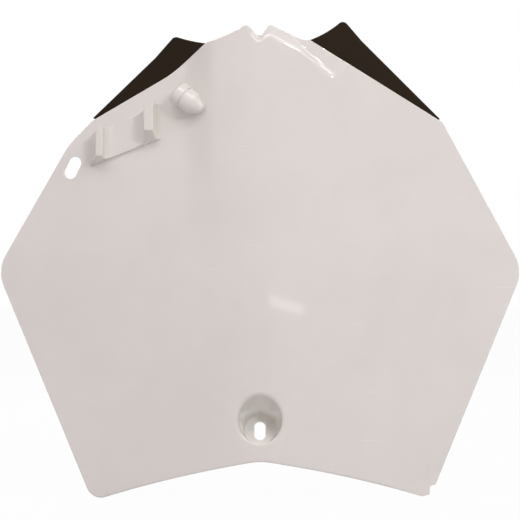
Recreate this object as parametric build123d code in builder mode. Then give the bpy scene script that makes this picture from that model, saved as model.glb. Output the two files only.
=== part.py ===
from build123d import *
import math
import os

# Front number board of an off-road racing motorcycle, with two black upper corners.
# Millimetres and degrees. The front faces -Y, +X is to the right as seen from the front, +Z is up.
# The origin is the middle of the lower fixing slot, on the rear seat of its cup.

# Skin: two flat flanks swept back from a rounded upright ridge
BOARD_WALL = 2.2
RIDGE_RADIUS = 120.0
SWEEP_ANGLE = 12.0

# Pocket: the left flank above a soft fold leans back, beside a blended wall
POCKET_LEAN = 3.9
POCKET_FOLD_DROP = 126.4
POCKET_FOLD_SOFTNESS = 25.0
POCKET_WALL_WIDTH = 20.0

# Outline of the board, seen from the front. Heights count from the lower left corner,
# drops from the right peak.
BOARD_WIDTH = 300.0
BOARD_HEIGHT = 273.4
SLOT_HEIGHT = 40.0
SIDE_CORNER_TRIM = 2.5
SIDE_CORNER_HEIGHT = 133.0
SIDE_CORNER_RADIUS = 20.0
LOWER_LEFT_X = 96.5
LOWER_LEFT_RADIUS = 8.5
LOWER_RIGHT_X = 97.8
LOWER_RIGHT_RISE = 1.4
LOWER_RIGHT_RADIUS = 4.0
LOWER_EDGE_RISE = 24.3
LOWER_EDGE_BULGE = 1.9
LOWER_MIDDLE_RADIUS = 37.0
RIGHT_SHOULDER_X = 105.1
RIGHT_SHOULDER_DROP = 55.1
RIGHT_JUNCTION_X = 28.6
RIGHT_JUNCTION_DROP = 8.9
RIGHT_VALLEY_X = 25.8
RIGHT_VALLEY_DROP = 9.5
RIGHT_PEAK_X = 5.6
RIGHT_PEAK_RADIUS = 0.8
NOTCH_X = 0.5
NOTCH_DROP = 7.8
NOTCH_RADIUS = 2.5
LEFT_PEAK_X = 7.6
LEFT_PEAK_DROP = 0.4
LEFT_PEAK_RADIUS = 2.0
LEFT_TOP_HOLLOW = 0.9
LEFT_JUNCTION_X = 30.4
LEFT_JUNCTION_DROP = 10.2
LEFT_JUNCTION_SLOPE = 37.2
LEFT_KNEE_X = 56.0
LEFT_KNEE_DROP = 30.8
LEFT_EDGE_END_X = 96.5
LEFT_EDGE_END_DROP = 53.9
LEFT_SHOULDER_X = 110.3
LEFT_SHOULDER_DROP = 67.6
LEFT_SHOULDER_RADIUS = 50.0

# Broken tip of the lower right corner
CHIP_TOP = 7.1
CHIP_SLOPE = 20.0
CHIP_LEDGE = 2.5
CHIP_WIDTH = 4.5
CHIP_RISE = 1.6

# Lip turned back round the notch and along the right top edge
LIP_WIDTH = 4.2
LIP_DEPTH = 5.0

# Lower fixing cup, slotted for an M6 collar screw that comes in from above the skin's normal
CUP_TILT = 22.0
CUP_DEPTH = 16.0
CUP_FLOOR = 2.5
CUP_FLOOR_RADIUS = 8.9
CUP_DRAFT = 14.0
SCREW_DIAMETER = 6.0
SCREW_CLEARANCE = 0.2
CUP_SLOT_LENGTH = 11.5

# Clamp slot, hose saddle and strap peg, on the pocket's floor
CLAMP_SLOT_X = 108.1
CLAMP_SLOT_DROP = 81.2
CLAMP_SLOT_LENGTH = 13.3
CLAMP_SLOT_WIDTH = 7.2
CLAMP_SLOT_LEAN = 25.5
SADDLE_X = 76.8
SADDLE_DROP = 63.1
SADDLE_LEFT_REACH = 20.9
SADDLE_RIGHT_REACH = 19.2
SADDLE_LENGTH = 18.9
SADDLE_UPPER_SLANT = 24.4
SADDLE_LOWER_SLANT = 20.5
SADDLE_HEIGHT = 1.6
SADDLE_FILLET = 5.0
POST_HEIGHT = 8.9
POST_ROUND = 0.6
LEFT_POST_WIDTH = 9.6
LEFT_POST_OUTER_LEAN = 5.6
LEFT_POST_INNER_LEAN = 0.3
LEFT_POST_END_DROP = 12.4
LEFT_POST_END_RUN = 3.3
RIGHT_POST_WIDTH = 7.8
RIGHT_POST_LEAN = 1.2
RIGHT_POST_END_RISE = 2.1
RIGHT_POST_END_RUN = 6.7
PEG_X = 43.1
PEG_DROP = 41.8
PEG_STANDOFF = 4.4
PEG_TURN = 72.2
PEG_DIP = 35.2
PEG_COLLAR_LENGTH = 5.9
PEG_COLLAR_RADIUS = 7.3
PEG_COLLAR_ROUND = 0.4
PEG_REAR_ROUND = 2.0
PEG_NOSE_LENGTH = 12.9
PEG_NOSE_RADIUS = 6.8
PEG_SHOULDER_LENGTH = 5.6
PEG_SHOULDER_RADIUS = 6.6
PEG_SHOULDER_ROUND = 5.0
PEG_TIP_RADIUS = 2.4
PEG_TIP_ROUND = 2.2

# Wings: flat black corners, lapped behind the board
WING_WALL = 2.0
WING_LAP = 7.5
WING_TOP_RADIUS = 3.2
RIGHT_WING_END_X = 103.9
RIGHT_WING_END_DROP = 53.2
RIGHT_WING_BEND_X = 58.5
RIGHT_WING_BEND_DROP = 9.1
RIGHT_WING_TOP_X = 47.8
RIGHT_WING_TOP_RISE = 3.1
RIGHT_WING_HOLLOW = 1.0
LEFT_WING_END_X = 96.7
LEFT_WING_END_DROP = 52.5
LEFT_WING_BEND_X = 60.4
LEFT_WING_BEND_DROP = 18.1
LEFT_WING_TOP_X = 49.3
LEFT_WING_TOP_DROP = 5.7
LEFT_WING_HOLLOW = 0.5

# Construction sizes, past the object on every side
FORM_MARGIN = 30.0
FORM_BACK_Y = 60.0

SWEEP_SIN = math.sin(math.radians(SWEEP_ANGLE))
SWEEP_COS = math.cos(math.radians(SWEEP_ANGLE))
SWEEP_TAN = math.tan(math.radians(SWEEP_ANGLE))
POCKET_TAN = math.tan(math.radians(POCKET_LEAN))
CUP_TAN = math.tan(math.radians(CUP_DRAFT))
CUP_SIN = math.sin(math.radians(CUP_TILT))
CUP_COS = math.cos(math.radians(CUP_TILT))
SADDLE_UPPER_TAN = math.tan(math.radians(SADDLE_UPPER_SLANT))
SADDLE_LOWER_TAN = math.tan(math.radians(SADDLE_LOWER_SLANT))
CHIP_TAN = math.tan(math.radians(CHIP_SLOPE))
LIP_TAPER = math.degrees(math.atan2(LIP_WIDTH, LIP_DEPTH))
RIDGE_STANDOFF = (CUP_FLOOR + CUP_DEPTH) * CUP_COS
PEAK_Z = BOARD_HEIGHT - SLOT_HEIGHT
POCKET_FOLD_Z = PEAK_Z - POCKET_FOLD_DROP
FORM_HALF_WIDTH = BOARD_WIDTH / 2 + FORM_MARGIN
FORM_BOTTOM = -SLOT_HEIGHT - FORM_MARGIN
FORM_TOP = PEAK_Z + FORM_MARGIN


def on_left(x, drop):
    """A point of the front view left of the middle, so far below the right peak."""
    return Vector(-x, PEAK_Z - drop)


def on_right(x, drop):
    """A point of the front view right of the middle, so far below the right peak."""
    return Vector(x, PEAK_Z - drop)


lower_left = Vector(-LOWER_LEFT_X, -SLOT_HEIGHT)
lower_middle = Vector(0, LOWER_EDGE_RISE - SLOT_HEIGHT)
lower_right = Vector(LOWER_RIGHT_X, LOWER_RIGHT_RISE - SLOT_HEIGHT)
right_corner = Vector(BOARD_WIDTH / 2 + SIDE_CORNER_TRIM, SIDE_CORNER_HEIGHT - SLOT_HEIGHT)
right_shoulder = on_right(RIGHT_SHOULDER_X, RIGHT_SHOULDER_DROP)
right_junction = on_right(RIGHT_JUNCTION_X, RIGHT_JUNCTION_DROP)
right_valley = on_right(RIGHT_VALLEY_X, RIGHT_VALLEY_DROP)
right_peak = on_right(RIGHT_PEAK_X, 0)
notch_foot = on_left(NOTCH_X, NOTCH_DROP)
left_peak = on_left(LEFT_PEAK_X, LEFT_PEAK_DROP)
left_junction = on_left(LEFT_JUNCTION_X, LEFT_JUNCTION_DROP)
left_knee = on_left(LEFT_KNEE_X, LEFT_KNEE_DROP)
left_edge_end = on_left(LEFT_EDGE_END_X, LEFT_EDGE_END_DROP)
left_shoulder = on_left(LEFT_SHOULDER_X, LEFT_SHOULDER_DROP)
left_corner = Vector(-BOARD_WIDTH / 2 - SIDE_CORNER_TRIM, SIDE_CORNER_HEIGHT - SLOT_HEIGHT)
clamp_slot = on_left(CLAMP_SLOT_X, CLAMP_SLOT_DROP)
saddle_middle = on_left(SADDLE_X, SADDLE_DROP)
peg_middle = on_left(PEG_X, PEG_DROP)
right_wing_end = on_right(RIGHT_WING_END_X, RIGHT_WING_END_DROP)
right_wing_bend = on_right(RIGHT_WING_BEND_X, RIGHT_WING_BEND_DROP)
right_wing_top = on_right(RIGHT_WING_TOP_X, -RIGHT_WING_TOP_RISE)
left_wing_end = on_left(LEFT_WING_END_X, LEFT_WING_END_DROP)
left_wing_bend = on_left(LEFT_WING_BEND_X, LEFT_WING_BEND_DROP)
left_wing_top = on_left(LEFT_WING_TOP_X, LEFT_WING_TOP_DROP)


def pocket_depth(z):
    """Depth of the pocket below the left flank: a straight slope above the fold, with a soft start."""
    rise = z - POCKET_FOLD_Z
    if rise <= -POCKET_FOLD_SOFTNESS:
        return 0.0
    if rise >= POCKET_FOLD_SOFTNESS:
        return POCKET_TAN * rise
    return POCKET_TAN * (rise + POCKET_FOLD_SOFTNESS) ** 2 / (4 * POCKET_FOLD_SOFTNESS)


def flank_y(x, inset):
    """Depth of a flat flank at x, inset from the front skin, with no pocket."""
    radius = RIDGE_RADIUS - inset
    tangent_y = RIDGE_RADIUS - RIDGE_STANDOFF - radius * SWEEP_COS
    return tangent_y + SWEEP_TAN * (abs(x) - radius * SWEEP_SIN)


def pocket_point(x, z, inset=0.0):
    """A point of the pocket's flat floor, left of its wall and above its fold."""
    return Vector(x, flank_y(x, inset) + pocket_depth(z), z)


def flank_point(x, z, inset=0.0):
    """A point of the flat right flank."""
    return Vector(x, flank_y(x, inset), z)


def lip_cut(peak, junction, inset):
    """Everything in front of the lip along the top edge; the lip runs out to nothing at the junction."""
    along = (junction - peak).normalized()
    rise = Vector(-along.Y, along.X)
    lip_normal = Vector(rise.X * LIP_DEPTH, -LIP_WIDTH, rise.Y * LIP_DEPTH).normalized()
    lip_foot = peak - rise * LIP_WIDTH
    lip_origin = Vector(lip_foot.X, -RIDGE_STANDOFF, lip_foot.Y)
    end_normal = Vector(-along.X, -1, -along.Y).normalized()
    end_origin = Vector(junction.X, flank_y(junction.X, 0.0), junction.Y)
    with BuildPart() as cut:
        Box(2 * FORM_HALF_WIDTH, 2 * FORM_BACK_Y, 2 * FORM_TOP)
        split(bisect_by=Plane(origin=lip_origin - lip_normal * inset, z_dir=lip_normal), keep=Keep.TOP)
        split(bisect_by=Plane(origin=end_origin - end_normal * inset, z_dir=end_normal), keep=Keep.TOP)
    return cut.part


def skin_form(inset, back_y):
    """Everything behind the skin, inset from its front: level sections joined by straight rulings."""
    fold_start = POCKET_FOLD_Z - POCKET_FOLD_SOFTNESS
    fold_end = POCKET_FOLD_Z + POCKET_FOLD_SOFTNESS
    edge_x = (RIDGE_RADIUS - inset) * SWEEP_SIN
    foot_x = -edge_x - POCKET_WALL_WIDTH
    edge_y = flank_y(edge_x, inset)
    handle = POCKET_WALL_WIDTH / 2 * Vector(SWEEP_COS, -SWEEP_SIN)
    crest = Vector(-edge_x, edge_y)
    right = Vector(FORM_HALF_WIDTH, flank_y(FORM_HALF_WIDTH, inset))
    right_lip = lip_cut(right_peak, right_valley, inset)
    with BuildPart() as form:
        for z in (FORM_BOTTOM, fold_start, POCKET_FOLD_Z, fold_end, FORM_TOP):
            back = Vector(0, pocket_depth(z))
            foot = Vector(foot_x, flank_y(foot_x, inset)) + back
            left = Vector(-FORM_HALF_WIDTH, flank_y(FORM_HALF_WIDTH, inset)) + back
            with BuildSketch(Plane.XY.offset(z)):
                with BuildLine():
                    Line(left, foot)
                    Bezier(foot, foot + handle, crest - handle, crest)
                    ThreePointArc(crest, (0, inset - RIDGE_STANDOFF), (edge_x, edge_y))
                    Line((edge_x, edge_y), right)
                    Polyline(right, (FORM_HALF_WIDTH, back_y), (-FORM_HALF_WIDTH, back_y), left)
                make_face()
        loft(ruled=True)
        add(right_lip, mode=Mode.SUBTRACT)
        notch_right = notch_foot + (right_peak - notch_foot).normalized() * FORM_MARGIN
        notch_left = notch_foot + (left_peak - notch_foot).normalized() * FORM_MARGIN
        with BuildSketch(Plane.XZ.offset(RIDGE_STANDOFF - LIP_DEPTH - inset)) as notch:
            Polygon(notch_foot, notch_right, notch_left, align=None)
            fillet(notch.vertices().sort_by_distance(notch_foot)[0], NOTCH_RADIUS)
            if inset > 0:
                offset(amount=inset)
        extrude(amount=FORM_MARGIN, taper=-LIP_TAPER, mode=Mode.SUBTRACT)
    return form.part


def flat_sheet(first, second, third):
    """A flat sheet of the wings' thickness, its front face through three points."""
    facing = (second - first).cross(third - first).normalized()
    facing = facing if facing.Y < 0 else -facing
    with BuildPart() as sheet:
        with BuildSketch(Plane(origin=first, z_dir=facing)):
            Rectangle(2 * FORM_HALF_WIDTH, 2 * FORM_HALF_WIDTH)
        extrude(amount=-WING_WALL)
    return sheet.part


with BuildSketch(Plane.XZ) as outline:
    with BuildLine():
        SagittaArc(lower_left, lower_middle, LOWER_EDGE_BULGE)
        SagittaArc(lower_middle, lower_right, LOWER_EDGE_BULGE)
        Polyline(lower_right, right_corner, right_shoulder, right_junction)
        Polyline(right_junction, right_valley, right_peak, notch_foot, left_peak)
        SagittaArc(left_peak, left_junction, LEFT_TOP_HOLLOW)
        junction_way = Vector(-1, 0).rotate(Axis.Z, LEFT_JUNCTION_SLOPE)
        knee_way = (left_edge_end - left_knee).normalized()
        Spline(left_junction, left_knee, tangents=(junction_way, knee_way))
        Polyline(left_knee, left_edge_end, left_shoulder, left_corner, lower_left)
    make_face()
    for corner, radius in (
        (right_corner, SIDE_CORNER_RADIUS),
        (left_corner, SIDE_CORNER_RADIUS),
        (lower_right, LOWER_RIGHT_RADIUS),
        (lower_left, LOWER_LEFT_RADIUS),
        (lower_middle, LOWER_MIDDLE_RADIUS),
        (left_shoulder, LEFT_SHOULDER_RADIUS),
        (right_peak, RIGHT_PEAK_RADIUS),
        (left_peak, LEFT_PEAK_RADIUS),
        (notch_foot, NOTCH_RADIUS),
    ):
        fillet(outline.vertices().sort_by_distance(corner)[0], radius)

cup_plane = Plane(origin=(0, 0, 0), x_dir=(1, 0, 0), z_dir=(0, -CUP_COS, CUP_SIN))
cup_reach = CUP_FLOOR + 2 * CUP_DEPTH
cup_inner_end = CUP_FLOOR_RADIUS + 2 * CUP_DEPTH * CUP_TAN
cup_outer_start = CUP_FLOOR_RADIUS - CUP_FLOOR * CUP_TAN + BOARD_WALL
cup_outer_end = cup_inner_end + BOARD_WALL

front_form = skin_form(0.0, FORM_BACK_Y)
back_form = skin_form(BOARD_WALL, FORM_BACK_Y + FORM_MARGIN)

# The space behind the board, leaving the cup's wall
with BuildPart() as hollow:
    add(back_form)
    with Locations(cup_plane):
        Cone(
            cup_outer_start,
            cup_outer_end,
            cup_reach,
            align=(Align.CENTER, Align.CENTER, Align.MIN),
            mode=Mode.SUBTRACT,
        )

pocket_across = Vector(1, -SWEEP_TAN, 0)
pocket_up = Vector(0, POCKET_TAN, 1)
saddle_plane = Plane(
    origin=pocket_point(saddle_middle.X, saddle_middle.Y),
    x_dir=pocket_across,
    z_dir=pocket_across.cross(pocket_up),
)

post_top = SADDLE_HEIGHT + POST_HEIGHT
channel_left = LEFT_POST_WIDTH - SADDLE_LEFT_REACH
channel_right = SADDLE_RIGHT_REACH - RIGHT_POST_WIDTH
side_plane = Plane(origin=saddle_plane.origin, x_dir=pocket_up, z_dir=pocket_across)
with BuildPart() as saddle:
    with BuildSketch(Plane(origin=saddle_plane.origin, x_dir=pocket_across, z_dir=-pocket_up)) as channel:
        with BuildLine():
            Polyline(
                (-SADDLE_LEFT_REACH, -SADDLE_HEIGHT),
                (SADDLE_RIGHT_REACH, -SADDLE_HEIGHT),
                (SADDLE_RIGHT_REACH, SADDLE_HEIGHT),
                (SADDLE_RIGHT_REACH - RIGHT_POST_LEAN, post_top),
                (channel_right + RIGHT_POST_LEAN, post_top),
                (channel_right, SADDLE_HEIGHT),
                (channel_left, SADDLE_HEIGHT),
                (channel_left - LEFT_POST_INNER_LEAN, post_top),
                (LEFT_POST_OUTER_LEAN - SADDLE_LEFT_REACH, post_top),
                (-SADDLE_LEFT_REACH, SADDLE_HEIGHT),
                close=True,
            )
        make_face()
        fillet(channel.vertices().group_by(Axis.Y)[1].sort_by(Axis.X)[1:3], SADDLE_FILLET)
        fillet(channel.vertices().group_by(Axis.Y)[-1], POST_ROUND)
    extrude(amount=FORM_MARGIN, both=True)
    with BuildSketch(saddle_plane):
        Polygon(
            (-SADDLE_LEFT_REACH, -SADDLE_LENGTH / 2 - SADDLE_LEFT_REACH * SADDLE_LOWER_TAN),
            (SADDLE_RIGHT_REACH, -SADDLE_LENGTH / 2 + SADDLE_RIGHT_REACH * SADDLE_LOWER_TAN),
            (SADDLE_RIGHT_REACH, SADDLE_LENGTH / 2 + SADDLE_RIGHT_REACH * SADDLE_UPPER_TAN),
            (-SADDLE_LEFT_REACH, SADDLE_LENGTH / 2 - SADDLE_LEFT_REACH * SADDLE_UPPER_TAN),
            align=None,
        )
    extrude(amount=FORM_MARGIN, both=True, mode=Mode.INTERSECT)
    for side, end_height, end_run in (
        (-1, -LEFT_POST_END_DROP, LEFT_POST_END_RUN),
        (1, RIGHT_POST_END_RISE, RIGHT_POST_END_RUN),
    ):
        with BuildSketch(side_plane):
            Polygon(
                (end_height - end_run, SADDLE_HEIGHT),
                (end_height, post_top),
                (end_height, FORM_MARGIN),
                (-FORM_MARGIN, FORM_MARGIN),
                (-FORM_MARGIN, SADDLE_HEIGHT),
                align=None,
            )
        extrude(amount=side * FORM_MARGIN, mode=Mode.SUBTRACT)

peg_turn = math.radians(PEG_TURN)
peg_dip = math.radians(PEG_DIP)
peg_axis = Vector(
    math.sin(peg_turn) * math.cos(peg_dip), -math.cos(peg_turn) * math.cos(peg_dip), -math.sin(peg_dip)
)
peg_point = pocket_point(peg_middle.X, peg_middle.Y) - Vector(0, PEG_STANDOFF, 0)
peg_plane = Plane(origin=peg_point, x_dir=peg_axis, z_dir=peg_axis.cross(Vector(0, 0, 1)))
with BuildPart() as peg:
    with BuildSketch(peg_plane) as peg_half:
        with BuildLine():
            Polyline(
                (-PEG_COLLAR_LENGTH, 0),
                (-PEG_COLLAR_LENGTH, PEG_COLLAR_RADIUS),
                (0, PEG_COLLAR_RADIUS),
                (0, PEG_NOSE_RADIUS),
                (PEG_SHOULDER_LENGTH, PEG_SHOULDER_RADIUS),
                (PEG_NOSE_LENGTH, PEG_TIP_RADIUS),
                (PEG_NOSE_LENGTH, 0),
                close=True,
            )
        make_face()
        for corner, radius in (
            ((-PEG_COLLAR_LENGTH, PEG_COLLAR_RADIUS), PEG_REAR_ROUND),
            ((0, PEG_COLLAR_RADIUS), PEG_COLLAR_ROUND),
            ((PEG_SHOULDER_LENGTH, PEG_SHOULDER_RADIUS), PEG_SHOULDER_ROUND),
            ((PEG_NOSE_LENGTH, PEG_TIP_RADIUS), PEG_TIP_ROUND),
        ):
            fillet(peg_half.vertices().sort_by_distance(corner)[0], radius)
    revolve(axis=Axis(peg_point, peg_axis))

with BuildPart() as number_board:
    add(front_form)
    extrude(outline.sketch, amount=FORM_BACK_Y, both=True, mode=Mode.INTERSECT)
    add(saddle.part)
    add(peg.part)
    add(hollow.part, mode=Mode.SUBTRACT)
    with Locations(cup_plane.offset(CUP_FLOOR)):
        Cone(
            CUP_FLOOR_RADIUS,
            cup_inner_end,
            cup_reach - CUP_FLOOR,
            align=(Align.CENTER, Align.CENTER, Align.MIN),
            mode=Mode.SUBTRACT,
        )
    with BuildSketch(cup_plane):
        SlotOverall(CUP_SLOT_LENGTH, SCREW_DIAMETER + 2 * SCREW_CLEARANCE, rotation=90)
    extrude(amount=CUP_DEPTH, both=True, mode=Mode.SUBTRACT)
    with BuildSketch(Plane.XZ):
        with Locations(clamp_slot):
            SlotOverall(CLAMP_SLOT_LENGTH, CLAMP_SLOT_WIDTH, rotation=90 - CLAMP_SLOT_LEAN)
    extrude(amount=FORM_BACK_Y, both=True, mode=Mode.SUBTRACT)
    with BuildSketch(Plane.XZ):
        with Locations(lower_right):
            Polygon(
                (FORM_MARGIN, CHIP_TOP + FORM_MARGIN * CHIP_TAN),
                (0, CHIP_TOP),
                (0, CHIP_LEDGE),
                (-CHIP_WIDTH, CHIP_RISE),
                (-CHIP_WIDTH, -FORM_MARGIN),
                (FORM_MARGIN, -FORM_MARGIN),
                align=None,
            )
    extrude(amount=FORM_BACK_Y, both=True, mode=Mode.SUBTRACT)

right_along = (right_shoulder - right_junction).normalized()
right_inward = Vector(right_along.Y, -right_along.X)
right_back = [
    flank_point(point.X, point.Y, BOARD_WALL) for point in (right_junction, right_shoulder, right_wing_top)
]
right_sheet = flat_sheet(*right_back)
with BuildPart() as right_wing:
    add(right_sheet)
    with BuildSketch(Plane.XZ) as right_outline:
        with BuildLine():
            Polyline(
                right_junction,
                right_junction + right_inward * WING_LAP,
                right_shoulder + (right_inward - right_along) * WING_LAP,
                right_wing_end,
                right_wing_bend,
                right_wing_top,
            )
            SagittaArc(right_wing_top, right_junction, RIGHT_WING_HOLLOW)
        make_face()
        fillet(right_outline.vertices().sort_by_distance(right_wing_top)[0], WING_TOP_RADIUS)
    extrude(amount=FORM_BACK_Y, both=True, mode=Mode.INTERSECT)

left_along = (left_edge_end - left_junction).normalized()
left_inward = Vector(-left_along.Y, left_along.X)
left_back = [
    pocket_point(point.X, point.Y, BOARD_WALL) for point in (left_junction, left_edge_end, left_wing_top)
]
left_sheet = flat_sheet(*left_back)
with BuildPart() as left_wing:
    add(left_sheet)
    with BuildSketch(Plane.XZ) as left_outline:
        with BuildLine():
            Polyline(
                left_junction,
                left_junction + left_inward * WING_LAP,
                left_edge_end + (left_inward - left_along) * WING_LAP,
                left_wing_end,
                left_wing_bend,
                left_wing_top,
            )
            SagittaArc(left_wing_top, left_junction, -LEFT_WING_HOLLOW)
        make_face()
        fillet(left_outline.vertices().sort_by_distance(left_wing_top)[0], WING_TOP_RADIUS)
    extrude(amount=FORM_BACK_Y, both=True, mode=Mode.INTERSECT)

os.makedirs("parts", exist_ok=True)
number_board.part.label = "number_board"
export_step(number_board.part, "parts/number_board.step")
left_wing.part.label = "left_wing"
export_step(left_wing.part, "parts/left_wing.step")
right_wing.part.label = "right_wing"
export_step(right_wing.part, "parts/right_wing.step")
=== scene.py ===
"""Racing number board: one glossy white moulding and two matt black corners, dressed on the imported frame.

Sizes are in millimetres while a surface is worked out, and in metres once it is a mesh.
x runs to the right and z up in the front view; the front faces -y.
"""

import bmesh
import bpy
import numpy as np
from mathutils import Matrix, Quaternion, Vector


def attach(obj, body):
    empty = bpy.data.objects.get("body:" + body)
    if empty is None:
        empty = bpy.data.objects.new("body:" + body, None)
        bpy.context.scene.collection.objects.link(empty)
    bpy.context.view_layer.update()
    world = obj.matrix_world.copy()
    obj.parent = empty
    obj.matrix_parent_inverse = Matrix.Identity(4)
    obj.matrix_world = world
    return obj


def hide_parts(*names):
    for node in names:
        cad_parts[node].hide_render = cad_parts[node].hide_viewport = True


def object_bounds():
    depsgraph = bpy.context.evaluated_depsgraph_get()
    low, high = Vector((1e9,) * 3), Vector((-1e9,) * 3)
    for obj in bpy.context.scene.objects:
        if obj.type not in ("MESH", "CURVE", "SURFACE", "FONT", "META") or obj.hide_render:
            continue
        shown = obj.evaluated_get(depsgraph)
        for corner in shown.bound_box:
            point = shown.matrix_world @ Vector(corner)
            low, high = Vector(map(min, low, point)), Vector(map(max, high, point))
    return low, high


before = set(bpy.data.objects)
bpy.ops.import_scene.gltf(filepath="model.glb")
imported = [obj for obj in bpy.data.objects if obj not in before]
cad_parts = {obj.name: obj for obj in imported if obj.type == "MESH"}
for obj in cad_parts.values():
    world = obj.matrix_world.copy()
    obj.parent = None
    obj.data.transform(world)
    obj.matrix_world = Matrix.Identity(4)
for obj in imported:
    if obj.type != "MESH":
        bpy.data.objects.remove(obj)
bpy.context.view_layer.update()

WALL = 2.2
EDGE_ROUND = 0.5
RIDGE_RADIUS = 120.0
RIDGE_Y = -17.152
SWEEP = np.radians(12.0)
RIDGE_EDGE = RIDGE_RADIUS * np.sin(SWEEP)
POCKET_SLOPE = np.tan(np.radians(3.9))
POCKET_FOLD_Z = 107.0
POCKET_FOLD_SOFTNESS = 25.0
POCKET_WALL_WIDTH = 20.0
LIP_WIDTH = 6.2
LIP_SLOPE = 0.62
LIP_BEND = 1.4
LIP_EDGE_WIDTH = 2.6
LIP_EDGE_SLOPE = 0.45
LIP_EDGE_BEND = 1.5
LIP_BLEND = 6.0
LIP_RUN_OUT = 7.0
LIP_LEFT_REACH = 1.4
LIP_LEFT_FADE = 5.0
LIP_GROWTH = 0.3
LIP_GROWTH_BEND = 4.0
NOTCH_NEARNESS = 1.4
NOTCH_SHIFT = 2.8
STEP_DEPTH = 1.7
STEP_WIDTH = 4.0
STEP_MERGE = 17.0
STEP_TAIL = 0.72
STEP_TAIL_FADE = 8
STEP_RUN = 27.0
STEP_END_FADE = 4
LOWER_ROUND_EXTRA = 0.6
LOWER_ROUND_TOP = 60.0
LOWER_ROUND_FADE = 40
BROKEN_CORNER_KEPT = 8.0

LEFT_JUNCTION = (-30.4, 223.2)
LEFT_PEAK = (-7.6, 233.0)
NOTCH_LEFT_END = (-14.5, 240.2)
NOTCH_FOOT = (-0.5, 225.6)
RIGHT_PEAK = (5.6, 233.4)
RIGHT_VALLEY = (25.8, 223.9)
RIGHT_JUNCTION = (28.6, 224.5)
RIGHT_SHOULDER = (105.1, 178.3)
LEFT_KNEE = (-56.0, 202.6)
LEFT_EDGE_END = (-96.5, 179.5)
STEP_START = (22.5, 220.0)
STEP_END = (42.0, 204.2)
BROKEN_CORNER = (97.5, -34.0)


def soft_ramp(t, softness):
    """Zero below -softness, t above +softness, and the parabola that joins them smoothly between."""
    blend = (np.clip(t, -softness, softness) + softness) ** 2 / (4 * softness)
    return np.where(t > softness, t, blend)


def smooth_step(t):
    """The cubic 3t^2 - 2t^3 from 0 to 1, flat outside."""
    t = np.clip(t, 0.0, 1.0)
    return t * t * (3 - 2 * t)


def path_distance(x, z, path):
    """Distance in the front view from each point to the nearest place on a run of straight lines."""
    start, run = np.array(path[:-1]), np.diff(np.array(path), axis=0)
    away = np.stack([x, z], -1)[..., None, :] - start
    along = np.clip((away * run).sum(-1) / (run**2).sum(-1), 0, 1)
    return np.linalg.norm(away - along[..., None] * run, axis=-1).min(-1)


def run_out(x, z, start, end):
    """How far each point lies before the end of the line from start to end, measured along it."""
    run = np.array(end) - np.array(start)
    run /= np.linalg.norm(run)
    return (end[0] - x) * run[0] + (end[1] - z) * run[1]


def soft_min(a, b, blend):
    """The smaller of two values, rounded off where they come nearer to each other than the blend."""
    near = np.maximum(blend - np.abs(a - b), 0) / blend
    return np.minimum(a, b) - near**2 * blend / 4


def lip_depth(x, z):
    """Set-back of the top lip: a gentle slope that bends steeper towards the edge, by the distance
    from the right top edge or from the notch, rounded where the two meet, running out at the left peak."""
    edge = path_distance(x, z, [RIGHT_PEAK, RIGHT_VALLEY])
    notch = NOTCH_NEARNESS * path_distance(x, z, [NOTCH_LEFT_END, NOTCH_FOOT, RIGHT_PEAK]) + NOTCH_SHIFT
    notch += LIP_WIDTH * (1 - smooth_step((x - LEFT_PEAK[0] + LIP_LEFT_REACH) / LIP_LEFT_FADE))
    near = soft_min(edge, notch, LIP_BLEND)
    return LIP_SLOPE * soft_ramp(LIP_WIDTH - near, LIP_BEND) + LIP_EDGE_SLOPE * soft_ramp(
        LIP_EDGE_WIDTH - near, LIP_EDGE_BEND
    )


def step_depth(x, z):
    """Set-back of the front beyond a shallow S-shaped step, which leads on from the lip, weakens and
    ends."""
    run = np.array(STEP_END) - np.array(STEP_START)
    run /= np.linalg.norm(run)
    along = (x - STEP_START[0]) * run[0] + (z - STEP_START[1]) * run[1]
    across = (z - STEP_START[1]) * run[0] - (x - STEP_START[0]) * run[1]
    height = STEP_TAIL + (1 - STEP_TAIL) * smooth_step((STEP_MERGE - along) / STEP_TAIL_FADE)
    height *= smooth_step(along / STEP_END_FADE + 1) * smooth_step((STEP_RUN - along) / STEP_END_FADE)
    return STEP_DEPTH * height * smooth_step(across / STEP_WIDTH + 0.5)


def flank(x):
    """Set-back of the skin by its sweep: a round ridge that runs tangent into two straight flanks."""
    side = np.abs(x)
    ridge = RIDGE_RADIUS - np.sqrt(RIDGE_RADIUS**2 - np.minimum(side, RIDGE_EDGE) ** 2)
    return RIDGE_Y + ridge + np.tan(SWEEP) * np.maximum(side - RIDGE_EDGE, 0)


def body(x, z):
    """The swept ridge and flanks, the left flank leaning back above a soft fold behind an S-shaped
    wall."""
    wall = smooth_step((-x - RIDGE_EDGE) / POCKET_WALL_WIDTH)
    return flank(x) + wall * POCKET_SLOPE * soft_ramp(z - POCKET_FOLD_Z, POCKET_FOLD_SOFTNESS)


def skin_form(x, z):
    """Form that the skin's back follows: the body and the lip, which fades before the right valley."""
    before = run_out(x, z, RIGHT_PEAK, RIGHT_VALLEY)
    return body(x, z) + lip_depth(x, z) * smooth_step(before / LIP_RUN_OUT)


def skin_front(x, z):
    """Front of the skin: the body set back by the lip, which grows shallower towards the right valley,
    or by the step where that lies deeper."""
    before = run_out(x, z, RIGHT_PEAK, RIGHT_VALLEY)
    most = STEP_DEPTH + LIP_GROWTH * soft_ramp(before, LIP_GROWTH_BEND)
    return body(x, z) + np.maximum(np.minimum(lip_depth(x, z), most), step_depth(x, z))


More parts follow.
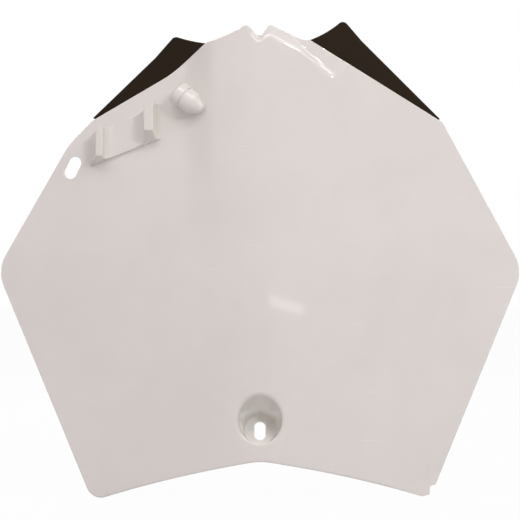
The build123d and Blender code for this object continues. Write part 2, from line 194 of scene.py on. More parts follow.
def wall_depth(front, x, z, wall):
    """Thickness measured along y of a sheet that is wall thick square to its surface."""
    d = 0.05
    slope_x = (front(x + d, z) - front(x - d, z)) / (2 * d)
    slope_z = (front(x, z + d) - front(x, z - d)) / (2 * d)
    return wall * np.sqrt(1 + slope_x**2 + slope_z**2)


def rounded_loop(corners, steps=8):
    """A closed path through corners (x, z, radius): straight runs, and an arc of that radius tangent
    to both runs at each corner, computed for all arcs at once."""
    table = np.array(corners, float)
    point, radius = table[:, :2], table[:, 2]
    before = np.roll(point, 1, 0) - point
    after = np.roll(point, -1, 0) - point
    before /= np.linalg.norm(before, axis=1, keepdims=True)
    after /= np.linalg.norm(after, axis=1, keepdims=True)
    half = np.arccos(np.clip((before * after).sum(1), -1, 1)) / 2
    bisector = before + after
    length = np.linalg.norm(bisector, axis=1, keepdims=True)
    bisector = bisector / np.maximum(length, 1e-9)
    centre = point + bisector * (radius / np.sin(half))[:, None]
    turn = np.linspace(-1, 1, steps + 1)[None, :] * (np.pi / 2 - half)[:, None]
    across = after - bisector * (after * bisector).sum(1, keepdims=True)
    across = across / np.maximum(np.linalg.norm(across, axis=1, keepdims=True), 1e-9)
    arc = centre[:, None] + radius[:, None, None] * (
        across[:, None] * np.sin(turn)[..., None] - bisector[:, None] * np.cos(turn)[..., None]
    )
    keep = np.ones(arc.shape[:2], bool)
    keep[radius == 0, 1:] = False
    return arc[keep]


def split_chains(loop):
    """The lower and the upper side of a closed outline, both running from its left end to its right
    end."""
    area = (loop[:, 0] * np.roll(loop[:, 1], -1) - loop[:, 1] * np.roll(loop[:, 0], -1)).sum()
    loop = loop if area > 0 else loop[::-1]
    loop = np.roll(loop, -loop[:, 0].argmin(), 0)
    right = loop[:, 0].argmax()
    return loop[: right + 1], np.vstack([loop[right:], loop[:1]])[::-1]


def along_columns(chain, columns):
    """Points of a side of the outline above or below the given x places."""
    return np.stack([columns, np.interp(columns, chain[:, 0], chain[:, 1])], -1)


def inward_normals(loop):
    """For each point of a counter-clockwise closed outline, the mitred unit step to its inside."""
    ahead = np.roll(loop, -1, 0) - loop
    ahead /= np.linalg.norm(ahead, axis=1, keepdims=True)
    normal = np.stack([-ahead[:, 1], ahead[:, 0]], -1)
    both = normal + np.roll(normal, 1, 0)
    both /= np.linalg.norm(both, axis=1, keepdims=True)
    return both / np.maximum((both * normal).sum(1, keepdims=True), 0.6)


def closed(rings):
    """Rings of points with the first point repeated at the end, so that a grid over them closes."""
    return np.concatenate([rings, rings[:, :1]], 1)


def round_corner(first, corner, last, steps=4):
    """A soft corner as rings: the parabola from first to last whose tangents meet at the corner."""
    t = np.linspace(0, 1, steps + 1)[:, None, None]
    return (1 - t) ** 2 * first + 2 * t * (1 - t) * corner + t**2 * last


def lift(flat, front):
    """Points of the front view put on a surface y = front(x, z)."""
    return np.stack([flat[..., 0], front(flat[..., 0], flat[..., 1]), flat[..., 1]], -1)


def block_border(grid, block):
    """The points round a rectangular block of grid cells, counter-clockwise."""
    i0, i1, j0, j1 = block
    return np.concatenate(
        [grid[i0:i1, j0], grid[i1, j0:j1], grid[i1:i0:-1, j1], grid[i0, j1:j0:-1]]
    )


class Shell:
    """Grids of points and the faces between them, welded into one closed piece."""

    def __init__(self):
        self.points, self.faces, self.count = [], [], 0

    def grid(self, points, skip=()):
        """Quads over a grid of points, less the cells of the skipped blocks."""
        rows, columns = points.shape[:2]
        index = np.arange(rows * columns).reshape(rows, columns) + self.count
        quads = np.stack([index[:-1, :-1], index[1:, :-1], index[1:, 1:], index[:-1, 1:]], -1)
        shown = np.ones(quads.shape[:2], bool)
        for i0, i1, j0, j1 in skip:
            shown[i0:i1, j0:j1] = False
        self.faces += quads[shown].tolist()
        self.points.append(points.reshape(-1, 3))
        self.count += rows * columns

    def piece(self, name, material):
        """The finished object: points in metres, doubles merged, faces outwards and smooth."""
        mesh = bpy.data.meshes.new(name)
        mesh.from_pydata((np.concatenate(self.points) * 0.001).tolist(), [], self.faces)
        work = bmesh.new()
        work.from_mesh(mesh)
        bmesh.ops.remove_doubles(work, verts=work.verts, dist=2e-6)
        bmesh.ops.dissolve_degenerate(work, edges=work.edges, dist=1e-6)
        bmesh.ops.recalc_face_normals(work, faces=work.faces)
        work.to_mesh(mesh)
        work.free()
        mesh.shade_smooth()
        mesh.materials.append(material)
        thing = bpy.data.objects.new(name, mesh)
        bpy.context.scene.collection.objects.link(thing)
        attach(thing, "root")
        return thing


def sheet_grid(lower, upper, rows):
    """Straight columns between the lower and the upper side, divided at the same shares."""
    return lower[:, None] * (1 - rows[None, :, None]) + upper[:, None] * rows[None, :, None]


def edge_round(flat):
    """Radius of a sheet's front edge by its place: larger along the lower edges, except at the broken
    corner."""
    low = smooth_step((LOWER_ROUND_TOP - flat[:, 1:]) / LOWER_ROUND_FADE)
    away = np.linalg.norm(flat - BROKEN_CORNER, axis=1, keepdims=True)
    whole = smooth_step((away - BROKEN_CORNER_KEPT) / BROKEN_CORNER_KEPT)
    return EDGE_ROUND + LOWER_ROUND_EXTRA * low * whole


def plate(shell, lower, upper, rows, front, form, wall, holes=()):
    """A sheet with rounded edges: the front over the inset outline, the back one wall behind the form,
    and a rim that follows the outline with a quarter round at each face. Returns the grid of flat points,
    the blocks left open in it and the back's surface."""
    loop = np.vstack([lower, upper[-2:0:-1]])
    radius = edge_round(loop)
    inside = loop + inward_normals(loop) * radius
    count = len(lower)
    low = inside[:count]
    high = np.vstack([inside[:1], inside[:count - 2:-1]])
    grid = sheet_grid(low, high, rows)
    blocks = holes(grid) if holes else []
    back = lambda x, z: form(x, z) + wall_depth(form, x, z, wall)
    shell.grid(lift(grid, front), blocks)
    shell.grid(lift(grid, back), blocks)
    near, far = lift(inside, front)[None], lift(inside, back)[None]
    edge = np.stack([loop[:, 0], near[0, :, 1], loop[:, 1]], -1)[None]
    rear = np.stack([loop[:, 0], far[0, :, 1], loop[:, 1]], -1)[None]
    inward = np.array([0.0, 1.0, 0.0])
    rim = [
        round_corner(near, edge, edge + inward * radius),
        round_corner(rear - inward * EDGE_ROUND, rear, far),
    ]
    shell.grid(closed(np.concatenate(rim)))
    return grid, blocks, back


def crisp(thing):
    """Face-weighted normals, so that flat faces stay flat between soft edges."""
    weighted = thing.modifiers.new("flat_faces", "WEIGHTED_NORMAL")
    weighted.weight = 80
    weighted.keep_sharp = False


# Materials


def new_material(name):
    """An empty node material with its output and its shader."""
    material = bpy.data.materials.new(name)
    material.use_nodes = True
    shader = material.node_tree.nodes["Principled BSDF"]
    return material, material.node_tree, shader


def add_node(tree, kind, **inputs):
    """A node of a tree, with the values of its named inputs."""
    node = tree.nodes.new(kind)
    for name, value in inputs.items():
        node.inputs[name.replace("_", " ")].default_value = value
    return node


def handling_group():
    """Marks that handling leaves on a moulding: fine straight scratches in two directions, and soft
    smears."""
    group = bpy.data.node_groups.new("handling_marks", "ShaderNodeTree")
    face = group.interface
    face.new_socket("Vector", in_out="INPUT", socket_type="NodeSocketVector")
    face.new_socket("Smear Scale", in_out="INPUT", socket_type="NodeSocketFloat")
    face.new_socket("Scratches", in_out="OUTPUT", socket_type="NodeSocketFloat")
    face.new_socket("Smears", in_out="OUTPUT", socket_type="NodeSocketFloat")
    start = group.nodes.new("NodeGroupInput")
    end = group.nodes.new("NodeGroupOutput")
    marks = []
    for turn, stretch in ((0.5, (14.0, 14.0, 420.0)), (-1.1, (9.0, 9.0, 300.0))):
        place = group.nodes.new("ShaderNodeMapping")
        place.inputs["Rotation"].default_value = (0.0, turn, 0.0)
        place.inputs["Scale"].default_value = stretch
        noise = add_node(group, "ShaderNodeTexNoise", Scale=4.0, Detail=2.0)
        line = group.nodes.new("ShaderNodeValToRGB")
        line.color_ramp.elements[0].position = 0.70
        line.color_ramp.elements[1].position = 0.78
        group.links.new(start.outputs["Vector"], place.inputs["Vector"])
        group.links.new(place.outputs["Vector"], noise.inputs["Vector"])
        group.links.new(noise.outputs["Fac"], line.inputs["Fac"])
        marks.append(line.outputs["Color"])
    both = group.nodes.new("ShaderNodeMath")
    both.operation = "MAXIMUM"
    group.links.new(marks[0], both.inputs[0])
    group.links.new(marks[1], both.inputs[1])
    smear = add_node(group, "ShaderNodeTexNoise", Detail=3.0, Roughness=0.55, Distortion=0.6)
    group.links.new(start.outputs["Vector"], smear.inputs["Vector"])
    group.links.new(start.outputs["Smear Scale"], smear.inputs["Scale"])
    group.links.new(both.outputs[0], end.inputs["Scratches"])
    group.links.new(smear.outputs["Fac"], end.inputs["Smears"])
    return group


handling = handling_group()


def place_handling(tree, scale):
    """The handling marks in a material, on the piece's own coordinates."""
    where = tree.nodes.new("ShaderNodeTexCoord")
    marks = tree.nodes.new("ShaderNodeGroup")
    marks.node_tree = handling
    marks.inputs["Smear Scale"].default_value = scale
    tree.links.new(where.outputs["Object"], marks.inputs["Vector"])
    return where.outputs["Object"], marks


def remap(tree, value, low, high, start=0.0, end=1.0):
    """A value from start to end as a value from low to high."""
    node = tree.nodes.new("ShaderNodeMapRange")
    node.inputs["From Min"].default_value = start
    node.inputs["From Max"].default_value = end
    node.inputs["To Min"].default_value = low
    node.inputs["To Max"].default_value = high
    tree.links.new(value, node.inputs["Value"])
    return node.outputs["Result"]


def white_panel():
    """Glossy moulded white: faintly mottled warm white, a fine ripple of the mould, light scratches in
    the gloss."""
    material, tree, shader = new_material("white_panel_gloss")
    where, marks = place_handling(tree, 22.0)
    tint = tree.nodes.new("ShaderNodeValToRGB")
    tint.color_ramp.elements[0].position = 0.3
    tint.color_ramp.elements[0].color = (0.728, 0.710, 0.666, 1)
    tint.color_ramp.elements[1].position = 0.7
    tint.color_ramp.elements[1].color = (0.758, 0.742, 0.698, 1)
    tree.links.new(marks.outputs["Smears"], tint.inputs["Fac"])
    tree.links.new(tint.outputs["Color"], shader.inputs["Base Color"])
    gloss = remap(tree, marks.outputs["Smears"], 0.16, 0.27, 0.3, 0.7)
    scratch = remap(tree, marks.outputs["Scratches"], 0.0, 0.10)
    rough = tree.nodes.new("ShaderNodeMath")
    tree.links.new(gloss, rough.inputs[0])
    tree.links.new(scratch, rough.inputs[1])
    tree.links.new(rough.outputs[0], shader.inputs["Roughness"])
    ripple = add_node(tree, "ShaderNodeTexNoise", Scale=260.0, Detail=2.0)
    tree.links.new(where, ripple.inputs["Vector"])
    bump = add_node(tree, "ShaderNodeBump", Strength=0.05, Distance=0.0006)
    tree.links.new(ripple.outputs["Fac"], bump.inputs["Height"])
    tree.links.new(bump.outputs["Normal"], shader.inputs["Normal"])
    shader.inputs["Coat Weight"].default_value = 0.6
    shader.inputs["Coat Roughness"].default_value = 0.04
    return material


def black_corner():
    """Matt moulded black: warm black with a fine grain, and paler scuffs where it has been handled."""
    material, tree, shader = new_material("black_corner_matt")
    where, marks = place_handling(tree, 35.0)
    tint = tree.nodes.new("ShaderNodeValToRGB")
    tint.color_ramp.elements[0].position = 0.25
    tint.color_ramp.elements[0].color = (0.0190, 0.0128, 0.0070, 1)
    tint.color_ramp.elements[1].position = 0.8
    tint.color_ramp.elements[1].color = (0.0245, 0.0170, 0.0100, 1)
    tree.links.new(marks.outputs["Smears"], tint.inputs["Fac"])
    tree.links.new(tint.outputs["Color"], shader.inputs["Base Color"])
    gloss = remap(tree, marks.outputs["Smears"], 0.48, 0.62, 0.3, 0.7)
    tree.links.new(gloss, shader.inputs["Roughness"])
    grain = add_node(tree, "ShaderNodeTexNoise", Scale=1400.0, Detail=2.0)
    tree.links.new(where, grain.inputs["Vector"])
    bump = add_node(tree, "ShaderNodeBump", Strength=0.18, Distance=0.0003)
    tree.links.new(grain.outputs["Fac"], bump.inputs["Height"])
    tree.links.new(bump.outputs["Normal"], shader.inputs["Normal"])
    shader.inputs["Specular IOR Level"].default_value = 0.06
    return material


white = white_panel()
black = black_corner()


# Board


def hollow_run(start, end, sag, count=8):
    """A shallow hollow edge from start to end: a parabola that sinks by sag at its middle."""
    start, end = np.array(start), np.array(end)
    t = np.linspace(0, 1, count + 1)[1:-1, None]
    run = end - start
    down = np.array([run[1], -run[0]]) / np.linalg.norm(run)
    down = down if down[1] < 0 else -down
    return [(x, z, 0.0) for x, z in start + run * t + down * sag * 4 * t * (1 - t)]


def knee_curve(count=12):
    """The S-shaped run from the left junction to the knee: a cubic that leaves the junction at a steep
    slope and reaches the knee along the straight edge below it."""
    a, b = np.array(LEFT_JUNCTION), np.array(LEFT_KNEE)
    chord = np.linalg.norm(b - a)
    leave = -chord * np.array([np.cos(np.radians(37.2)), np.sin(np.radians(37.2))])
    reach = np.array(LEFT_EDGE_END) - b
    reach *= chord / np.linalg.norm(reach)
    t = np.linspace(0, 1, count + 1)[:, None]
    line = a + (b - a) * t * t * (3 - 2 * t) + leave * t * (1 - t) ** 2 - reach * t * t * (1 - t)
    return [(x, z, 0.0) for x, z in line]


def lower_edge(count=24):
    """The lower edge: two shallow arches that rise from the corners and meet in a round crest at the
    middle."""
    crest_z, crest_half, arch = -15.7, 6.1, 7.8
    x = np.linspace(-87.0, 90.0, 2 * count + 1)
    side = np.where(np.abs(x) > crest_half, np.abs(x), (x * x / crest_half + crest_half) / 2)
    share = side / np.where(x < 0, 96.5, 97.8)
    fall = np.where(x < 0, 24.3, 22.9)
    z = crest_z - fall * share + arch * share * (1 - share)
    return [(a, b, 0.0) for a, b in zip(x, z)]


board_loop = rounded_loop(
    [(-96.5, -40.0, 8.55)]
    + lower_edge()
    + [
        (93.2, -37.15, 0.6), (97.75, -36.1, 0.6), (97.9, -31.5, 0.6), (101.28, -30.23, 0.5),
        (152.5, 93.0, 20.0), (*RIGHT_SHOULDER, 0.0), (*RIGHT_JUNCTION, 0.0), (*RIGHT_VALLEY, 2.0),
        (*RIGHT_PEAK, 0.8),
        (*NOTCH_FOOT, 2.5), (*LEFT_PEAK, 2.0),
    ]
    + hollow_run(LEFT_PEAK, LEFT_JUNCTION, 0.9)
    + knee_curve()
    + [(*LEFT_EDGE_END, 0.0), (-110.3, 165.8, 50.0), (-152.5, 93.0, 20.06)]
)
lower_side, upper_side = split_chains(board_loop)
fine = [
    np.arange(-148, 148.1, 2.0),
    np.arange(-14, 10.1, 0.5),
    np.arange(10, 46, 1.0),
    np.arange(-120, -96, 1.0),
]
ends = np.concatenate([lower_side[:, 0], upper_side[:, 0]])
columns = np.unique(np.round(np.concatenate(fine + [ends]), 1))
columns = columns[(columns > board_loop[:, 0].min() + 0.05) & (columns < board_loop[:, 0].max() - 0.05)]
columns = np.concatenate([[board_loop[:, 0].min()], columns, [board_loop[:, 0].max()]])
board_rows = np.concatenate(
    [
        np.linspace(0, 0.17, 36, endpoint=False),
        np.linspace(0.17, 0.84, 40, endpoint=False),
        np.linspace(0.84, 0.955, 22, endpoint=False),
        np.linspace(0.955, 1, 24),
    ]
)


CUP_TILT = np.radians(22.0)
CUP_FLOOR = 2.5
CUP_RADIUS = 8.9
CUP_SPREAD = np.tan(np.radians(14.0))
CUP_AXIS = np.array([0, -np.cos(CUP_TILT), np.sin(CUP_TILT)])
CUP_UP = np.array([0, np.sin(CUP_TILT), np.cos(CUP_TILT)])
CUP_ACROSS = np.array([1.0, 0.0, 0.0])
CUP_MIDDLE = np.array([0.0, 6.9])
CUP_SLOT_LENGTH = 11.5
CUP_SLOT_WIDTH = 6.4
CUP_FILLET = 1.2
CUP_SLOT_ROUND = 0.4
CUP_SEAT_ROUND = 0.5
CUP_MOUTH_OUT = 1.8
CUP_MOUTH_DOWN = 1.6
CUP_BACK_FILLET = 2.5
SLOT_MIDDLE = np.array([-108.1, 152.2])
SLOT_LENGTH = 13.3
SLOT_WIDTH = 7.2
SLOT_LEAN = np.radians(64.5)


def slot_radius(angle, length, width):
    """Distance from the middle of a round-ended slot to its edge, by the angle from its long axis."""
    straight = (length - width) / 2
    c, s = np.abs(np.cos(angle)), np.abs(np.sin(angle))
    side = width / 2 / np.maximum(s, 1e-9)
    end = straight * c + np.sqrt(np.maximum((width / 2) ** 2 - (straight * s) ** 2, 0))
    return np.where(side * c <= straight, side, end)


def cup_ring(angle, radius, height):
    """A ring about the cup's tilted axis, so far out and so high above the rear seat."""
    across = np.cos(angle)[:, None] * CUP_ACROSS + np.sin(angle)[:, None] * CUP_UP
    radius, height = np.broadcast_to(radius, angle.shape), np.broadcast_to(height, angle.shape)
    return across * radius[:, None] + height[:, None] * CUP_AXIS


def cup_meets(angle, extra, surface):
    """Height at which the cup's cone, widened by extra, meets a surface: halving steps on all angles."""
    low, high = np.zeros(angle.shape), np.full(angle.shape, 40.0)
    for _ in range(40):
        middle = (low + high) / 2
        ring = cup_ring(angle, cone_radius(middle) + extra, middle)
        behind = ring[:, 1] > surface(ring[:, 0], ring[:, 2])
        low, high = np.where(behind, middle, low), np.where(behind, high, middle)
    return middle


def cone_radius(height):
    """Radius of the cup's inner cone at a height above the rear seat."""
    return CUP_RADIUS + (height - CUP_FLOOR) * CUP_SPREAD


def cone_corner(angle, extra, surface, out, down):
    """A soft corner where the widened cone meets a surface, reaching out on it and down the cone."""
    edge = cup_meets(angle, extra, surface)
    wide = cup_meets(angle, extra + out, surface)
    rings = [
        cup_ring(angle, cone_radius(wide) + extra + out, wide),
        cup_ring(angle, cone_radius(edge) + extra, edge),
        cup_ring(angle, cone_radius(edge - down) + extra, edge - down),
    ]
    return round_corner(*[ring[None] for ring in rings], steps=5)


def cup_rings(angle, back):
    """The cup from the front skin to the back skin: soft mouth, cone, floor, slot, rear seat, outer
    cone."""
    slot = slot_radius(angle - np.pi / 2, CUP_SLOT_LENGTH, CUP_SLOT_WIDTH)
    top, soft = CUP_FLOOR + CUP_FILLET, CUP_SLOT_ROUND
    foot = cone_radius(top)
    flat = CUP_RADIUS - CUP_FILLET
    seat = cone_radius(0.0) + WALL
    rise = cone_radius(CUP_SEAT_ROUND) + WALL
    ring = lambda radius, height: cup_ring(angle, radius, height)[None]
    return np.concatenate(
        [
            cone_corner(angle, 0.0, skin_front, CUP_MOUTH_OUT, CUP_MOUTH_DOWN),
            round_corner(ring(foot, top), ring(CUP_RADIUS, CUP_FLOOR), ring(flat, CUP_FLOOR)),
            ring((flat + slot) / 2, CUP_FLOOR),
            round_corner(
                ring(slot + soft, CUP_FLOOR), ring(slot, CUP_FLOOR), ring(slot, CUP_FLOOR - soft)
            ),
            round_corner(ring(slot, soft), ring(slot, 0.0), ring(slot + soft, 0.0)),
            ring((seat + slot) / 2, 0.0),
            round_corner(ring(seat - CUP_SEAT_ROUND, 0.0), ring(seat, 0.0), ring(rise, CUP_SEAT_ROUND)),
            cone_corner(angle, WALL, back, CUP_BACK_FILLET, CUP_BACK_FILLET)[::-1],
        ]
    )


def clamp_rings(angle, back):
    """The clamp slot's wall from the front skin to the back skin, with soft edges."""
    radius = slot_radius(angle - SLOT_LEAN, SLOT_LENGTH, SLOT_WIDTH)
    around = np.stack([np.cos(angle), np.sin(angle)], -1)
    edge = SLOT_MIDDLE + around * radius[:, None]
    wide = SLOT_MIDDLE + around * (radius[:, None] + EDGE_ROUND)
    inset = np.array([0, EDGE_ROUND, 0])
    near, far = lift(edge, skin_front)[None], lift(edge, back)[None]
    return np.concatenate(
        [
            round_corner(lift(wide, skin_front)[None], near, near + inset),
            round_corner(far - inset, far, lift(wide, back)[None]),
        ]
    )


def board_holes(grid):
    """The blocks of grid cells round the cup and round the clamp slot."""
    blocks = []
    for middle, half_x, half_z in ((CUP_MIDDLE, 18.5, 18.5), (SLOT_MIDDLE, 8.5, 9.0)):
        column = np.abs(grid[:, 0, 0] - middle[0]).argmin()
        i0 = np.abs(grid[:, 0, 0] - middle[0] + half_x).argmin()
        i1 = np.abs(grid[:, 0, 0] - middle[0] - half_x).argmin()
        j0 = np.abs(grid[column, :, 1] - middle[1] + half_z).argmin()
        j1 = np.abs(grid[column, :, 1] - middle[1] - half_z).argmin()
        blocks.append((i0, i1, j0, j1))
    return blocks


def board():
    """The white skin with its lip, its pocket, its cup and its clamp slot, as one closed shell."""
    shell = Shell()
    lower, upper = along_columns(lower_side, columns), along_columns(upper_side, columns)
    grid, blocks, back = plate(shell, lower, upper, board_rows, skin_front, skin_form, WALL, board_holes)
    for block, middle, rings in zip(blocks, (CUP_MIDDLE, SLOT_MIDDLE), (cup_rings, clamp_rings)):
        border = block_border(grid, block)
        angle = np.arctan2(border[:, 1] - middle[1], border[:, 0] - middle[0])
        tube = rings(angle, back)
        share = np.linspace(0, 1, 7)[:, None, None]
        for surface, ring in ((skin_front, tube[0]), (back, tube[-1])):
            flat = border * (1 - share) + ring[:, [0, 2]] * share
            patch = lift(flat, surface)
            patch[-1] = ring
            shell.grid(closed(patch))
        shell.grid(closed(tube))
    thing = shell.piece("board_skin", white)
    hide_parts("number_board")
    crisp(thing)


board()


# Hose saddle and strap peg

SADDLE_X = -76.8
SADDLE_Z = 170.3
SADDLE_HALF = 9.45
SADDLE_LOWER_SLANT = np.tan(np.radians(20.5))
SADDLE_UPPER_SLANT = np.tan(np.radians(24.4))
LEFT_POST_END = -12.4
LEFT_POST_SLOPE = 3.3
RIGHT_POST_END = 2.1
RIGHT_POST_SLOPE = 6.7
PEG_X = -43.1
PEG_Z = 191.6
PEG_STANDOFF = 4.4
PEG_SUNK = 1.4
PEG_TURN = np.radians(72.2)
PEG_DIP = np.radians(35.2)


def pocket_floor(x, z):
    """Front of the flat pocket floor, left of its wall and above its fold."""
    return flank(x) + POCKET_SLOPE * (z - POCKET_FOLD_Z)


def hose_saddle():
    """A channel section carried along the pocket's slope between two slanted ends. Both ends are grids
    over the section, from its sunk foot to its outline; the posts' lower ends slope back above the
    channel's floor."""
    floor, top, sunk, soft = 1.6, 10.5, -1.0, 0.4
    section = rounded_loop(
        [
            (-20.9, sunk, 0), (-20.9, floor, 0.5), (-15.3, top, 0.7), (-11.6, top, 0.7),
            (-11.3, floor, 5.0), (11.4, floor, 5.0), (12.6, top, 0.7), (18.0, top, 0.7),
            (19.2, 0.15, 3.0), (23.0, -0.2, 0), (23.0, sunk, 0),
        ]
    )
    length = np.concatenate([[0], np.cumsum(np.linalg.norm(np.diff(section, axis=0), axis=1))])
    stations = np.unique(np.concatenate([length, np.arange(0, length[-1], 0.5)]))
    outer = np.stack([np.interp(stations, length, section[:, i]) for i in (0, 1)], -1)
    inner = outer + inward_normals(outer[::-1])[::-1] * soft
    inner[[0, -1]] = outer[[0, -1]]

    def low(a, b):
        """Place along the channel of the lower end: the slanted edge, or a post's sloping end where that
        is higher."""
        share = (top - b) / (top - floor)
        left = LEFT_POST_END - LEFT_POST_SLOPE * share
        right = RIGHT_POST_END - RIGHT_POST_SLOPE * share
        post = np.where(b > floor + 0.01, np.where(a < 0, left, right), -np.inf)
        return np.maximum(-SADDLE_HALF + a * SADDLE_LOWER_SLANT, post)

    def high(a, b):
        """Place along the channel of the upper end, a slanted edge."""
        return SADDLE_HALF + a * SADDLE_UPPER_SLANT + 0 * b

    across = np.array([1, -np.tan(SWEEP), 0])
    across /= np.linalg.norm(across)
    out = np.cross(across, [0, POCKET_SLOPE, 1])
    out /= np.linalg.norm(out)
    up = np.cross(out, across)
    middle = np.array([SADDLE_X, pocket_floor(SADDLE_X, SADDLE_Z), SADDLE_Z])
    place = lambda a, b, run: middle + a[..., None] * across + b[..., None] * out + run[..., None] * up
    a, b = outer.T
    c, d = inner.T
    ends = [low(c, d), low(a, b), low(a, b) + soft, high(a, b) - soft, high(a, b), high(c, d)]
    rings = [place(*(inner.T if k in (0, 5) else outer.T), run)[None] for k, run in enumerate(ends)]
    side = np.concatenate([round_corner(*rings[:3]), round_corner(*rings[3:])])
    shell = Shell()
    shell.grid(side)
    foot = np.linspace(sunk, np.minimum(floor, d), 3)
    level = np.concatenate([foot, np.linspace(np.minimum(floor + 0.02, d), d, 16)])
    wide = np.broadcast_to(c, level.shape)
    shell.grid(place(wide, level, low(wide, level)))
    shell.grid(place(wide, level, high(wide, level)))
    along = ((side - middle) @ up)[:, [0, -1]]
    along = (along - along[0]) / (along[-1] - along[0])
    share = along[:, :1] + (along[:, 1:] - along[:, :1]) * np.linspace(0, 1, len(c))
    bottom = np.full(share.shape, sunk)
    shell.grid(place(c + 0 * share, bottom, low(c, 0 * c) * (1 - share) + high(c, 0 * c) * share))
    thing = shell.piece("hose_saddle", white)
    crisp(thing)


def strap_peg():
    """A peg that lies along the skin: a round collar, a fine groove and a blunt nose turned about a
    leaning axis; what lies under the skin is flattened inside the wall."""
    level = np.cos(PEG_DIP)
    axis = np.array([np.sin(PEG_TURN) * level, -np.cos(PEG_TURN) * level, -np.sin(PEG_DIP)])
    side = np.cross(axis, [0, 0, 1.0])
    side /= np.linalg.norm(side)
    top = np.cross(side, axis)
    middle = np.array([PEG_X, pocket_floor(PEG_X, PEG_Z) - PEG_STANDOFF, PEG_Z])
    profile = rounded_loop(
        [
            (-5.9, 0, 0), (-5.9, 7.3, 2.0), (0, 7.3, 0.4), (0, 6.4, 0.1), (0.5, 6.4, 0.1),
            (0.6, 6.78, 0.2), (5.6, 6.6, 5.0), (12.9, 2.4, 2.2), (12.9, 0, 0),
        ],
        10,
    )
    length = np.concatenate([[0], np.cumsum(np.linalg.norm(np.diff(profile, axis=0), axis=1))])
    stations = np.unique(np.concatenate([length, np.arange(0, length[-1], 0.5)]))
    height, radius = (np.interp(stations, length, profile[:, i])[:, None, None] for i in (0, 1))
    angle = np.linspace(0, 2 * np.pi, 120, endpoint=False)[:, None]
    points = middle + height * axis + radius * (np.cos(angle) * side + np.sin(angle) * top)
    deepest = skin_front(points[..., 0], points[..., 2]) + PEG_SUNK
    points[..., 1] = np.minimum(points[..., 1], deepest)
    shell = Shell()
    shell.grid(closed(points))
    thing = shell.piece("strap_peg", white)
    crisp(thing)


hose_saddle()
strap_peg()


# Black corners

WING_WALL = 2.0
WING_LAP = 7.5
RIGHT_WING_TOP = (47.8, 236.43)
LEFT_WING_TOP = (-49.3, 227.7)
WING_TOP_RADIUS = 3.2


def wing(name, node, corners, front):
    """A flat black corner behind the board: a thin plate between the two sides of its outline."""
    low, high = split_chains(rounded_loop(corners, 10))
    ends = np.concatenate([low[:, 0], high[:, 0], np.linspace(low[0, 0], low[-1, 0], 40)])
    places = np.unique(np.round(ends, 2))
    places = places[(places > low[0, 0] + 0.02) & (places < low[-1, 0] - 0.02)]
    places = np.concatenate([low[:1, 0], places, low[-1:, 0]])
    shell = Shell()
    rows = np.linspace(0, 1, 15)
    low, high = along_columns(low, places), along_columns(high, places)
    plate(shell, low, high, rows, front, front, WING_WALL)
    thing = shell.piece(name, black)
    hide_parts(node)
    crisp(thing)


def lapped(start, end):
    """The two inner corners of a black corner lapped behind an edge that falls from start to end."""
    start, end = np.array(start), np.array(end)
    along = (end - start) / np.linalg.norm(end - start)
    inward = np.array([along[1], -along[0]]) * np.sign(along[0])
    return [(*(start + inward * WING_LAP), 0), (*(end + (inward - along) * WING_LAP), 0)]


def right_back(x, z):
    """Back of the flat right flank, where the right corner lies."""
    return RIDGE_Y + RIDGE_RADIUS - (RIDGE_RADIUS - WALL) / np.cos(SWEEP) + np.tan(SWEEP) * x + 0 * z


def left_back(x, z):
    """Back of the flat pocket floor, where the left corner lies."""
    return right_back(-x, z) + POCKET_SLOPE * (z - POCKET_FOLD_Z)


inner, outer = lapped(RIGHT_JUNCTION, RIGHT_SHOULDER)
wing(
    "right_wing_sheet",
    "right_wing",
    [inner, outer, (103.9, 180.2, 0), (58.5, 224.3, 0), (*RIGHT_WING_TOP, WING_TOP_RADIUS)]
    + hollow_run(RIGHT_WING_TOP, RIGHT_JUNCTION, 1.0)[1:]
    + [(*RIGHT_JUNCTION, 0)],
    right_back,
)
inner, outer = lapped(LEFT_JUNCTION, LEFT_EDGE_END)
wing(
    "left_wing_sheet",
    "left_wing",
    [inner, (*LEFT_JUNCTION, 0)]
    + hollow_run(LEFT_JUNCTION, LEFT_WING_TOP, 0.5)[:-1]
    + [(*LEFT_WING_TOP, WING_TOP_RADIUS), (-60.4, 215.3, 0), (-96.7, 180.9, 0), outer],
    left_back,
)


# Floor, light and camera


def seen_directly(tree):
    """One where a ray comes from the camera, from a reflection or through glass, and none where it only
    lights."""
    path = tree.nodes.new("ShaderNodeLightPath")
    seen = path.outputs["Is Camera Ray"]
    for name in ("Is Glossy Ray", "Is Transmission Ray"):
        either = tree.nodes.new("ShaderNodeMath")
        either.operation = "MAXIMUM"
        tree.links.new(seen, either.inputs[0])
        tree.links.new(path.outputs[name], either.inputs[1])
        seen = either.outputs[0]
    return seen


def pale_floor():
    """A wide pale floor under the lowest corners; what the camera sees of it is white, less the
    shadow."""
    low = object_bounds()[0].z - 0.0005
    mesh = bpy.data.meshes.new("floor")
    mesh.from_pydata([(-6, -6, low), (6, -6, low), (6, 6, low), (-6, 6, low)], [], [(0, 1, 2, 3)])
    material, tree, shader = new_material("floor_pale")
    shader.inputs["Base Color"].default_value = (0.68, 0.68, 0.68, 1)
    shader.inputs["Roughness"].default_value = 0.9
    shader.inputs["Specular IOR Level"].default_value = 0.1
    glow = tree.nodes.new("ShaderNodeEmission")
    mix = tree.nodes.new("ShaderNodeMixShader")
    tree.links.new(remap(tree, seen_directly(tree), 0.0, 0.965), mix.inputs[0])
    tree.links.new(shader.outputs[0], mix.inputs[1])
    tree.links.new(glow.outputs[0], mix.inputs[2])
    tree.links.new(mix.outputs[0], tree.nodes["Material Output"].inputs["Surface"])
    mesh.materials.append(material)
    thing = bpy.data.objects.new("floor", mesh)
    bpy.context.scene.collection.objects.link(thing)


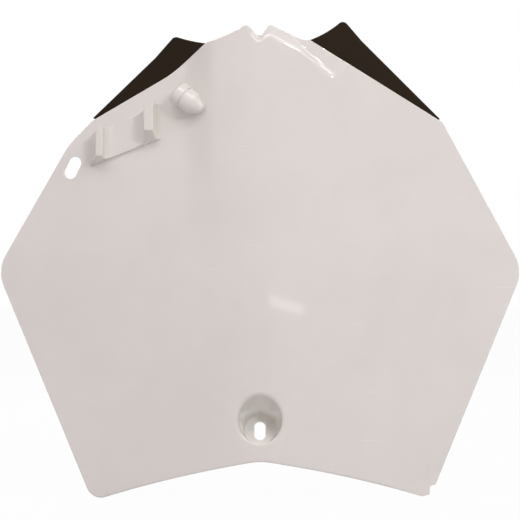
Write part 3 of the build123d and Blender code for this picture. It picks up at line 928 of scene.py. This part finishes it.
def studio_world():
    """A pale room: a soft light on the object, faintly pinker from the left, and a white backdrop to
    the camera."""
    world = bpy.data.worlds.new("studio")
    world.use_nodes = True
    tree = world.node_tree
    light = tree.nodes["Background"]
    where = tree.nodes.new("ShaderNodeTexCoord")
    split = tree.nodes.new("ShaderNodeSeparateXYZ")
    tone = tree.nodes.new("ShaderNodeValToRGB")
    tone.color_ramp.elements[0].color = (1.93, 1.57, 1.71, 1)
    tone.color_ramp.elements[1].color = (0.98, 0.97, 0.91, 1)
    tree.links.new(where.outputs["Generated"], split.inputs["Vector"])
    tree.links.new(remap(tree, split.outputs["X"], 0.0, 1.0, -1.0, 1.0), tone.inputs["Fac"])
    tree.links.new(tone.outputs["Color"], light.inputs["Color"])
    light.inputs["Strength"].default_value = 0.269
    white_back = add_node(tree, "ShaderNodeBackground", Color=(1, 1, 1, 1), Strength=1.0)
    mix = tree.nodes.new("ShaderNodeMixShader")
    tree.links.new(seen_directly(tree), mix.inputs[0])
    tree.links.new(light.outputs[0], mix.inputs[1])
    tree.links.new(white_back.outputs[0], mix.inputs[2])
    tree.links.new(mix.outputs[0], tree.nodes["World Output"].inputs["Surface"])
    bpy.context.scene.world = world


def softbox(name, place, aim, width, height, power, roll=0.0):
    """An oblong area lamp at a place, turned to its aim, its width level or rolled by an angle."""
    lamp = bpy.data.lights.new(name, "AREA")
    lamp.shape = "RECTANGLE"
    lamp.size = width
    lamp.size_y = height
    lamp.energy = power
    lamp.color = (1.0, 0.972, 0.985)
    thing = bpy.data.objects.new(name, lamp)
    thing.location = place
    turn = (Vector(aim) - Vector(place)).to_track_quat("-Z", "Y") @ Quaternion((0, 0, 1), roll)
    thing.rotation_euler = turn.to_euler()
    bpy.context.scene.collection.objects.link(thing)


def photo_camera():
    """A level camera 1.5 m in front of the ridge, framed as the photograph: its width covers 295.8 mm
    there."""
    camera = bpy.data.cameras.new("camera")
    camera.sensor_width = 36.0
    camera.lens = 36.0 * 1500.0 / 295.8
    camera.clip_end = 100.0
    thing = bpy.data.objects.new("camera", camera)
    thing.location = (0.0, -1.51715, 0.09885)
    thing.rotation_euler = (np.pi / 2, 0.0, 0.0)
    bpy.context.scene.collection.objects.link(thing)
    bpy.context.scene.camera = thing


pale_floor()
studio_world()
softbox("key_light", (0.74, -1.22, 0.84), (0.0, 0.0, 0.12), 0.22, 0.22, 5.9)
softbox("top_light", (0.35, -0.80, 1.20), (0.35, 0.0, 0.12), 3.3, 0.3, 12.0)
softbox(
    "front_strip", (0.382, -1.40, 0.0486), (0.0, 0.0, 0.06), 0.515, 0.011, 0.080, np.radians(-1.2)
)
softbox("back_light", (-0.30, 1.30, 1.00), (0.0, 0.0, 0.12), 1.4, 0.6, 9.0)
photo_camera()
bpy.context.scene.view_settings.view_transform = "Standard"
